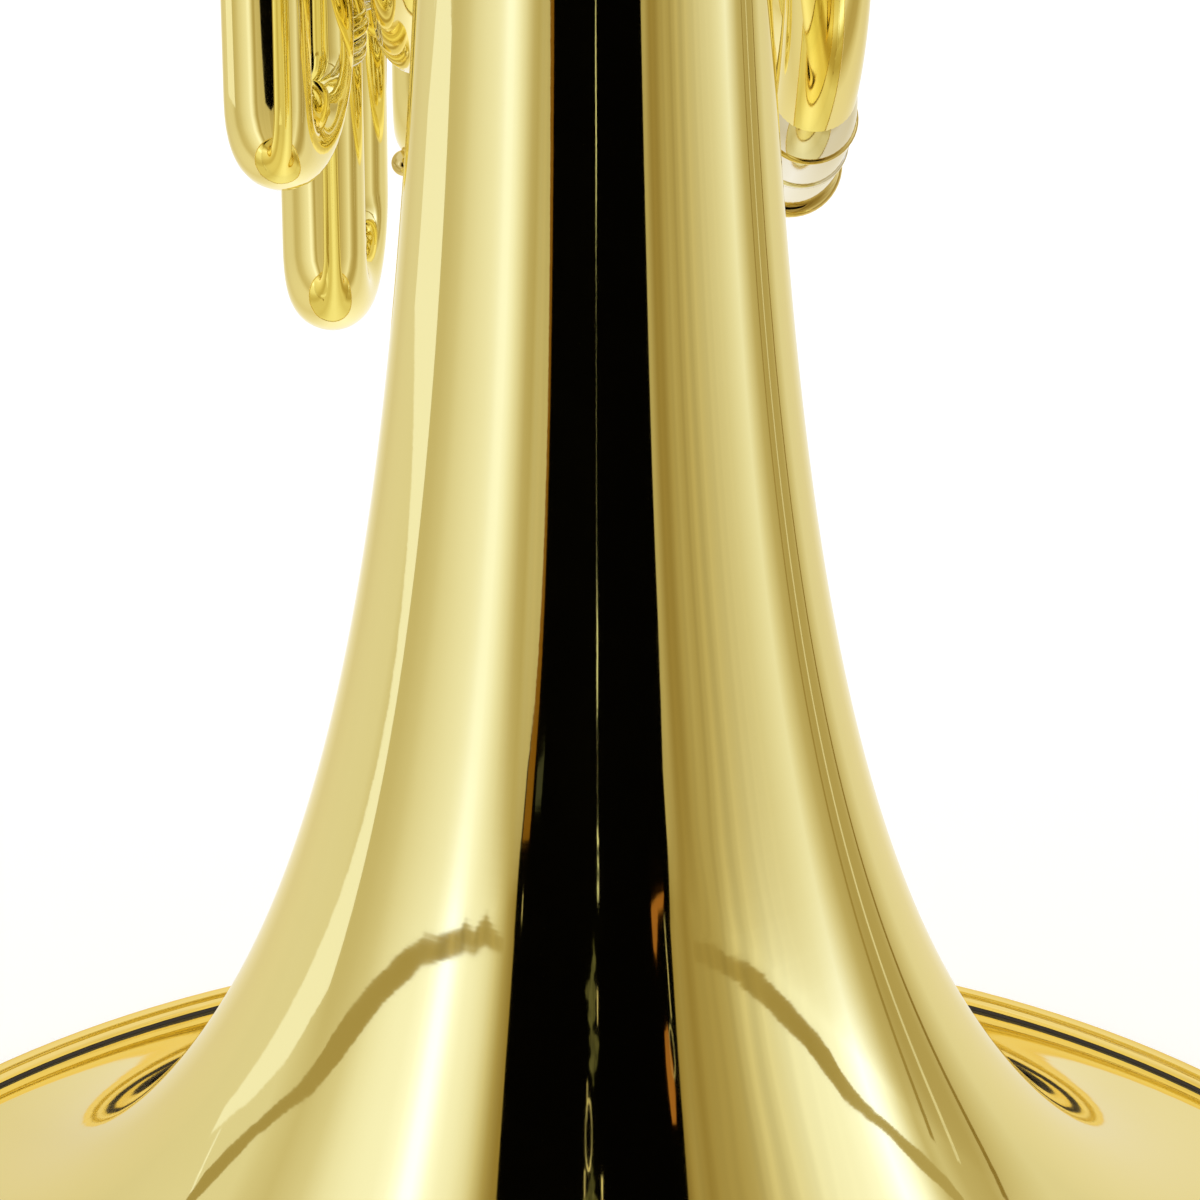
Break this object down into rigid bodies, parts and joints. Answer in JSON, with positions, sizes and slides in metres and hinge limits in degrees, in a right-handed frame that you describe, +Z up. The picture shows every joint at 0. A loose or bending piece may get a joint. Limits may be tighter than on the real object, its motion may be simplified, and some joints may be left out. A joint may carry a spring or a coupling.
{
  "type": "double french horn",
  "caption": "Double french horn standing on its bell: flared bell, ring of tubing, rotary valves with string linkage, tuning slides and mouthpiece.",
  "frame": {"origin": "middle of the whole horn's box, on the floor under the bell's rim", "axes": "+Z up along the bell's axis, +X towards the valve caps, +Y from the bell towards the far side of the ring"},
  "size_m": [0.3096, 0.5082, 0.4875],
  "materials": {
    "lacquered_brass": "polished yellow brass under clear lacquer",
    "nickel_silver": "polished nickel silver under clear lacquer",
    "silver_plate": "silver plated brass",
    "steel": "ground steel",
    "cord": "braided cord"
  },
  "bodies": {
    "root": {"bb_brace": "nickel_silver", "bb_branch": "lacquered_brass", "bell": "lacquered_brass", "bell_brace": "nickel_silver", "bell_branch": "lacquered_brass", "bell_ferrule": "nickel_silver", "bell_throat": "lacquered_brass", "change_cap": "lacquered_brass", "change_casing": "lacquered_brass", "change_valve_bow": "lacquered_brass", "f_brace": "nickel_silver", "f_branch": "lacquered_brass", "f_tuning_sleeves": "lacquered_brass", "far_saddle": "lacquered_brass", "finger_hook": "nickel_silver", "first_bb_sleeves": "lacquered_brass", "first_cap": "lacquered_brass", "first_casing": "lacquered_brass", "first_f_sleeves": "lacquered_brass", "lever_rod": "steel", "main_tuning_sleeves": "lacquered_brass", "mouthpipe": "lacquered_brass", "mouthpipe_ferrule": "nickel_silver", "mouthpipe_receiver": "nickel_silver", "near_saddle": "lacquered_brass", "second_bb_sleeves": "lacquered_brass", "second_cap": "lacquered_brass", "second_casing": "lacquered_brass", "second_f_sleeves": "lacquered_brass", "third_bb_sleeves": "lacquered_brass", "third_cap": "lacquered_brass", "third_casing": "lacquered_brass", "third_f_sleeves": "lacquered_brass", "top_brace": "nickel_silver", "tuning_branch": "lacquered_brass"},
    "third_f_slide": {"third_f_slide": "lacquered_brass"},
    "second_f_slide": {"second_f_slide": "lacquered_brass"},
    "first_f_slide": {"first_f_slide": "lacquered_brass"},
    "third_bb_slide": {"third_bb_slide": "lacquered_brass"},
    "second_bb_slide": {"second_bb_slide": "lacquered_brass"},
    "first_bb_slide": {"first_bb_slide": "lacquered_brass"},
    "f_tuning_slide": {"f_tuning_slide": "lacquered_brass"},
    "main_tuning_slide": {"main_tuning_slide": "lacquered_brass"},
    "change_rotor": {"change_rotor": "lacquered_brass", "change_stop_arm": "nickel_silver"},
    "thumb_lever": {"thumb_lever": "nickel_silver", "change_string": "cord"},
    "third_rotor": {"third_rotor": "lacquered_brass", "third_stop_arm": "nickel_silver"},
    "third_lever": {"third_lever": "nickel_silver", "third_string": "cord"},
    "second_rotor": {"second_rotor": "lacquered_brass", "second_stop_arm": "nickel_silver"},
    "second_lever": {"second_lever": "nickel_silver", "second_string": "cord"},
    "first_rotor": {"first_rotor": "lacquered_brass", "first_stop_arm": "nickel_silver"},
    "first_lever": {"first_lever": "nickel_silver", "first_string": "cord"},
    "mouthpiece": {"mouthpiece": "silver_plate"}
  },
  "joints": [
    {"name": "third_f_pull", "type": "slide", "parent": "root", "child": "third_f_slide", "axis": [0, 0, -1], "range_m": [0, 0.022]},
    {"name": "second_f_pull", "type": "slide", "parent": "root", "child": "second_f_slide", "axis": [0, 0, -1], "range_m": [0, 0.022]},
    {"name": "first_f_pull", "type": "slide", "parent": "root", "child": "first_f_slide", "axis": [0, 0, -1], "range_m": [0, 0.022]},
    {"name": "third_bb_pull", "type": "slide", "parent": "root", "child": "third_bb_slide", "axis": [0, 0, -1], "range_m": [0, 0.022]},
    {"name": "second_bb_pull", "type": "slide", "parent": "root", "child": "second_bb_slide", "axis": [0, 0, -1], "range_m": [0, 0.022]},
    {"name": "first_bb_pull", "type": "slide", "parent": "root", "child": "first_bb_slide", "axis": [0, 0, -1], "range_m": [0, 0.022]},
    {"name": "f_tuning_pull", "type": "slide", "parent": "root", "child": "f_tuning_slide", "axis": [0, 0, -1], "range_m": [0, 0.022]},
    {"name": "main_tuning_pull", "type": "slide", "parent": "root", "child": "main_tuning_slide", "axis": [0, 0, 1], "range_m": [0, 0.022]},
    {"name": "change_rotor_turn", "type": "hinge", "parent": "root", "child": "change_rotor", "pos_m": [0, 0.00587, 0.322], "axis": [1, 0, 0], "range_deg": [0, 90]},
    {"name": "thumb_lever_press", "type": "hinge", "parent": "root", "child": "thumb_lever", "pos_m": [0, 0.02587, 0.354], "axis": [0, 1, 0], "range_deg": [0, 10], "stiffness_Nm_per_rad": 0.15, "springref_deg": -14.32, "deforming": ["change_string"]},
    {"name": "third_rotor_turn", "type": "hinge", "parent": "root", "child": "third_rotor", "pos_m": [0, 0.04987, 0.322], "axis": [-1, 0, 0], "range_deg": [0, 90]},
    {"name": "third_lever_press", "type": "hinge", "parent": "root", "child": "third_lever", "pos_m": [0, 0.06987, 0.354], "axis": [0, -1, 0], "range_deg": [0, 10], "stiffness_Nm_per_rad": 0.15, "springref_deg": -14.32, "deforming": ["third_string"]},
    {"name": "second_rotor_turn", "type": "hinge", "parent": "root", "child": "second_rotor", "pos_m": [0, 0.09387, 0.322], "axis": [-1, 0, 0], "range_deg": [0, 90]},
    {"name": "second_lever_press", "type": "hinge", "parent": "root", "child": "second_lever", "pos_m": [0, 0.11387, 0.354], "axis": [0, -1, 0], "range_deg": [0, 10], "stiffness_Nm_per_rad": 0.15, "springref_deg": -14.32, "deforming": ["second_string"]},
    {"name": "first_rotor_turn", "type": "hinge", "parent": "root", "child": "first_rotor", "pos_m": [0, 0.13787, 0.322], "axis": [-1, 0, 0], "range_deg": [0, 90]},
    {"name": "first_lever_press", "type": "hinge", "parent": "root", "child": "first_lever", "pos_m": [0, 0.15787, 0.354], "axis": [0, -1, 0], "range_deg": [0, 10], "stiffness_Nm_per_rad": 0.15, "springref_deg": -14.32, "deforming": ["first_string"]},
    {"name": "mouthpiece_pull", "type": "slide", "parent": "root", "child": "mouthpiece", "axis": [0, -0.9962, -0.0872], "range_m": [0, 0.018]}
  ],
  "couplings": [
    {"joint": "thumb_lever_press", "follows": "change_rotor_turn", "ratio": 0.1111},
    {"joint": "third_lever_press", "follows": "third_rotor_turn", "ratio": 0.1111},
    {"joint": "second_lever_press", "follows": "second_rotor_turn", "ratio": 0.1111},
    {"joint": "first_lever_press", "follows": "first_rotor_turn", "ratio": 0.1111}
  ]
}
